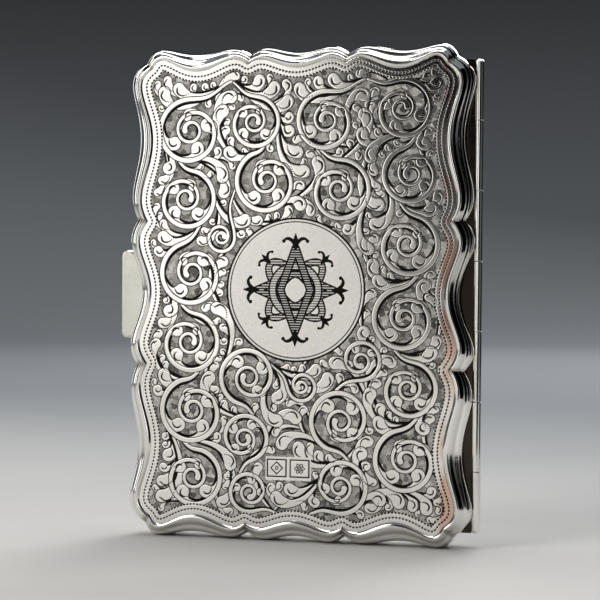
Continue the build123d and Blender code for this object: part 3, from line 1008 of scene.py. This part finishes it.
def divider_outline():
    """The divider's outline, with its round finger notch in the opening side."""
    loop = rounded_rectangle(DIVIDER_LOW[[0, 2]], DIVIDER_HIGH[[0, 2]], 2.5)
    edge_x = DIVIDER_LOW[0]
    pole_x = edge_x + NOTCH_DEPTH - NOTCH_RADIUS
    end = math.acos((edge_x - pole_x) / NOTCH_RADIUS)
    half = NOTCH_RADIUS * math.sin(end)
    angle = np.linspace(end, -end, 26)
    notch = np.array([pole_x, 0]) + NOTCH_RADIUS * spokes(angle)
    on_edge = loop[:, 0] < edge_x + 0.01
    keep = ~(on_edge & (abs(loop[:, 1]) < half + 0.8))
    split = np.flatnonzero(on_edge & (loop[:, 1] > half + 0.8))[-1] + 1
    return np.concatenate([loop[:split], notch, loop[split:][keep[split:]]])


def stitches(name, line, y, out, material, body):
    """A row of thread stitches along a closed line (x, z). Each one dips into the leather at both ends."""
    line = resample_loop(line, STITCH_PITCH)
    angle = np.linspace(0, math.tau, 6, endpoint=False)
    points, faces = [], []
    for start, end in zip(line[:-1], line[1:]):
        middle, ahead = (start + end) / 2, (end - start) / np.hypot(*(end - start))
        left = turned(ahead, math.pi / 2)
        first = len(points)
        for along, lift, swell in STITCH_RINGS:
            for a in angle:
                x, z = middle + ahead * along * STITCH_LENGTH + left * STITCH_RADIUS * swell * math.cos(a)
                points.append((x, y + out * STITCH_RADIUS * (lift + swell * math.sin(a)), z))
        faces.append(ring_faces(len(STITCH_RINGS), len(angle), first=first))
        for cap in (first, first + (len(STITCH_RINGS) - 1) * len(angle)):
            faces.append(fan(cap + np.arange(len(angle)), cap)[1:-1])
    face_outwards(add_piece(name, points, faces, [material], body))


def face_outwards(piece):
    mesh = bmesh.new()
    mesh.from_mesh(piece.data)
    bmesh.ops.recalc_face_normals(mesh, faces=mesh.faces)
    mesh.to_mesh(piece.data)
    mesh.free()


def stitched_leather(node, piece_end, loop, out, profile, seam_inset, materials, thread, body):
    """One leather face, out being the side it looks to along Y, and the stitching near its edge."""
    low, high = (corner[1] for corner in node_box(node))
    base, thick = low if out > 0 else high, high - low
    profile = [(depth, thick * share) for depth, share in profile]
    sheet(node, piece_end, loop, base, out, profile, materials, body)
    stitches(node + "_stitching", shrink(loop, seam_inset), base + out * thick, out, thread, body)


def build_leather(materials, thread):
    """Leather on each half's board and on both faces of the divider's card core. Each has a turned edge, a
    pressed channel, a fine gilt line and stitching."""
    loop = rounded_rectangle(LINING_LOW[[0, 2]], LINING_HIGH[[0, 2]], 2.0)
    for half, out in (("back", -1), ("front", 1)):
        stitched_leather(half + "_lining", "_leather", loop, out, LINING_PROFILE, 1.5, materials, thread,
                         half + "_half")
    for half, out in (("back", 1), ("front", -1)):
        stitched_leather(f"divider_{half}_leather", "_skin", divider_outline(), out, DIVIDER_PROFILE, 1.0,
                         materials, thread, "divider")


def silk_sheet(place, profile, stations, order, material):
    """Thin folded silk: a zigzag profile run along the stations. The order
    says which of (y, the profile's other value, the station) is X, which is Y and which is Z."""
    name = place + "_silk"
    line, _ = resample(profile, SILK_STEP)
    _, left = directions(line)
    phases = np.random.default_rng(len(name)).uniform(0, math.tau, 4)
    limits = sorted((profile[0][0], profile[-1][0]))
    rings = []
    for s in stations:
        ripple = SILK_RIPPLE * sum(np.sin(s / reach + phase) for reach, phase in zip(SILK_REACHES, phases))
        swell = ripple * np.sin(np.linspace(0, math.tau, len(line)))[:, None] ** 2
        sides = [line + left * (swell + half) for half in (SILK_SHEET / 2, -SILK_SHEET / 2)]
        section = np.concatenate([sides[0], sides[1][::-1]])
        y = np.clip(section[:, 0], *limits)
        rings.append(np.stack([y, section[:, 1], np.full(len(y), s)], 1)[:, order])
    around, half = len(rings[0]), len(line)
    k = np.arange(half - 1)
    cap = np.stack([k, k + 1, around - 2 - k, around - 1 - k], 1)
    faces = [ring_faces(len(rings), around), cap, cap + (len(rings) - 1) * around]
    piece = add_piece(name, np.concatenate(rings), faces, [material], nodes=[place + "_gusset"])
    face_outwards(piece)
    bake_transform(piece)


def build_silk(material):
    """Gussets that close the ends of both pockets, folded inwards, and the strip along the hinge side."""
    lining_y, divider_y = GUSSET_HIGH[1] - SILK_TUCK, GUSSET_LOW[1] + SILK_TUCK
    # the divider's edge of each gusset stays half way between the two halves
    along = np.linspace(GUSSET_LOW[0], GUSSET_HIGH[0], 150)
    mirror = 2 * SEAM_Y      # a back half's y and its front half's add up to this
    for end, sign in (("top", 1), ("bottom", -1)):
        rim, fold = sign * (GUSSET_HIGH[2] - 0.25), sign * (GUSSET_HIGH[2] - 2.05)
        back = np.array([(lining_y, rim), ((lining_y + divider_y) / 2, fold), (divider_y, rim)])
        front = np.array([mirror, 0]) + back * (-1, 1)
        silk_sheet(end + "_back", back, along, (2, 0, 1), material)
        silk_sheet(end + "_front", front, along, (2, 0, 1), material)
    y = np.linspace(SPINE_HIGH[1], SPINE_LOW[1], 13)
    x = (SPINE_LOW[0] + SPINE_HIGH[0]) / 2 + 0.08 * np.sin(math.pi / 2 * np.arange(13))
    stations = np.linspace(SPINE_LOW[2], SPINE_HIGH[2], 180)
    silk_sheet("spine", np.stack([y, x], 1), stations, (1, 0, 2), material)


# CAD nodes that keep their own shape

def dress(node, material, bevel):
    """Gives a CAD node its material and softens its sharp edges."""
    part = frame["nodes"][node]
    part.data.materials.clear()
    part.data.materials.append(material)
    part.modifiers.new("weld", "WELD").merge_threshold = 1e-6
    edge = part.modifiers.new("bevel", "BEVEL")
    edge.width = bevel * MM
    edge.segments = 2
    edge.limit_method = "ANGLE"
    edge.angle_limit = math.radians(35)
    part.modifiers.new("normals", "WEIGHTED_NORMAL")


# Studio: its lengths are in metres

def aim(item, place, target, axis):
    """Moves a light or card that the camera doesn't see, and turns its axis to the target."""
    item.location = place
    item.rotation_mode = "QUATERNION"
    item.rotation_quaternion = (Vector(target) - Vector(place)).to_track_quat(axis, "Y")
    item.visible_camera = False


def area_light(name, place, size, power, colour=(1, 1, 1)):
    light = bpy.data.lights.new(name, "AREA")
    light.shape = "RECTANGLE"
    light.size, light.size_y = size
    light.energy = power
    light.color = colour
    lamp = bpy.data.objects.new(name, light)
    aim(lamp, place, (0, 0, 0), "-Z")
    bpy.context.scene.collection.objects.link(lamp)


def reflector(name, place, target, size, middle, side, side_at=1.0, colour=(1, 1, 1), flag=None):
    """Card seen only in reflections. It glows with the middle's strength on its upright centre line and
    with the side's from side_at outwards. A flag (x, y, radius, softness) blacks out a disc of it."""
    tree = Tree(name)
    tree.nodes.remove(tree.surface)
    spot = tree.place()
    aside = tree.math("ABSOLUTE", tree.add("SeparateXYZ", {0: spot}).outputs[0])
    level = tree.remap(aside, 0.0, side_at, middle, side)
    if flag:
        x, y, radius, soft = flag
        away = tree.distance(spot, (x, y, 0.0))
        level = tree.times(level, tree.remap(away, radius - soft, radius + soft, 0.0, 1.0))
    glow = tree.add("Emission", {"Color": colour, "Strength": level})
    tree.links.new(glow.outputs[0], tree.nodes["Material Output"].inputs["Surface"])
    corners = np.array([(-1, -1, 0), (1, -1, 0), (1, 1, 0), (-1, 1, 0)]) * (*size, 0) / 2 / MM
    card = add_piece(name, corners, [[(0, 1, 2, 3)]], [tree.material])
    aim(card, place, target, "Z")
    card.visible_shadow = False
    card.visible_diffuse = False


def build_sweep(material):
    """Round floor that curves up into a backdrop, so that it looks the same from every side."""
    around, curve = 96, np.radians(np.linspace(5, 90, 18))
    profile = [(150, 0), (300, 0), (600, 0), (1050, 0)]
    profile += [(1050 + 500 * math.sin(a), 500 * (1 - math.cos(a))) for a in curve]
    profile += [(1550, 1100), (1550, 1600)]
    x, y = spokes(np.linspace(0, math.tau, around, endpoint=False)).T
    rings = [np.stack([r * x, r * y, np.full(around, FLOOR_Z + rise)], 1) for r, rise in profile]
    points = np.concatenate(rings + [np.array([(0, 0, FLOOR_Z)])])
    faces = [ring_faces(len(rings), around)[:, ::-1], fan(np.arange(around), len(points) - 1)]
    add_piece("studio_floor", points, faces, [material])


def build_studio():
    build_sweep(studio_sweep())
    world = bpy.data.worlds.new("studio")
    world.use_nodes = True
    sky = world.node_tree.nodes["Background"].inputs
    sky["Color"].default_value = (0.80, 0.88, 1.0, 1)
    sky["Strength"].default_value = 0.25
    bpy.context.scene.world = world
    bpy.context.scene.view_settings.view_transform = "Standard"
    area_light("key", (-0.60, -0.70, 0.55), (0.5, 0.5), 4.8, (1.0, 0.97, 0.93))
    area_light("top", (-0.05, 0.12, 1.00), (0.8, 0.6), 6.5)
    area_light("rear", (0.15, 0.95, 0.60), (0.6, 0.4), 6.5)
    reflector("front_card", (-0.15, -1.0, 0.0), (-0.15, 0, 0.0), (1.1, 0.7), 0.12, 1.34, 0.22,
              (1.0, 0.985, 0.96), flag=(-0.06, 0.20, 0.185, 0.045))
    reflector("left_strip", (-0.85, 0.15, 0.30), (0, 0, 0.30), (0.34, 0.66), 2.4, 2.4)
    for azimuth in DARK_CARDS:
        x, y = DARK_CARD_DISTANCE * spokes(math.radians(azimuth - 90))
        reflector(f"dark_card_{azimuth}", (x, y, 0.09), (0.03, 0, 0.09), (0.125, 0.28), 0, 0)


def build_camera():
    """Camera that looks at the front panel's centre from the hinge side, almost level."""
    lens = bpy.data.cameras.new("camera")
    lens.lens = CAMERA_LENS
    lens.shift_x, lens.shift_y = CAMERA_SHIFT
    lens.clip_start, lens.clip_end = 0.05, 10
    camera = bpy.data.objects.new("camera", lens)
    azimuth, elevation, roll = (math.radians(a) for a in CAMERA_ANGLES)
    turn = Euler((math.pi / 2 - elevation, 0, azimuth)).to_matrix().to_4x4()
    to_front = Matrix.Translation((0, 2 * SEAM_Y * MM, 0)) @ turn
    away = Matrix.Translation((0, 0, CAMERA_DISTANCE * MM)) @ Matrix.Rotation(roll, 4, "Z")
    camera.matrix_world = to_front @ away
    bpy.context.scene.collection.objects.link(camera)
    bpy.context.scene.camera = camera


def build():
    engraved = engraved_silver()
    polished = polished_metal("polished_silver", (0.93, 0.915, 0.885), (0.30, 0.27, 0.22), masked=True)
    plain = polished_metal("plain_silver", (0.92, 0.905, 0.87), (0.50, 0.46, 0.39))
    satin = polished_metal("satin_silver", (0.66, 0.66, 0.60), (0.50, 0.49, 0.42), (0.22, 0.38))
    # Near-black silver for the hinge bearers: painted shade in the dark recess between the moulding's wall
    # and the hinge barrel.
    shade_silver = polished_metal("painted_shade_silver", (0.055, 0.042, 0.034), (0.012, 0.010, 0.008), (0.14, 0.30))
    gilt = polished_metal("gilt_silver", (0.93, 0.66, 0.33), (0.62, 0.36, 0.14), (0.10, 0.26))
    steel = polished_metal("spring_steel", (0.52, 0.52, 0.53), (0.22, 0.20, 0.19), (0.18, 0.34))
    hide = leather("calf_leather", (0.30, 0.135, 0.062), (0.115, 0.045, 0.02))
    thread = waxed_thread()
    card = millboard()
    for half, front in (("back", False), ("front", True)):
        build_panel(half, front, engraved)
        build_moulding(half, front, polished)
        dress(half + "_knuckles", plain, 0.10)
        # Painted shade: the bearers are near-black.
        dress(half + "_hinge_bearer", shade_silver, 0.05)
        dress(half + "_frame", gilt, 0.08)
        dress(half + "_board", card, 0.08)
    for node, material, bevel in (("hinge_pin", steel, 0.05), ("thumb_piece", satin, 0.10),
                                  ("catch_keeper", gilt, 0.05), ("catch_lug", gilt, 0.05),
                                  ("catch_rivet", steel, 0.05), ("catch_spring", steel, 0.03),
                                  ("divider_core", card, 0.03)):
        dress(node, material, bevel)
    build_leather([hide, gilt], thread)
    build_silk(silk())
    build_studio()
    build_camera()


build()
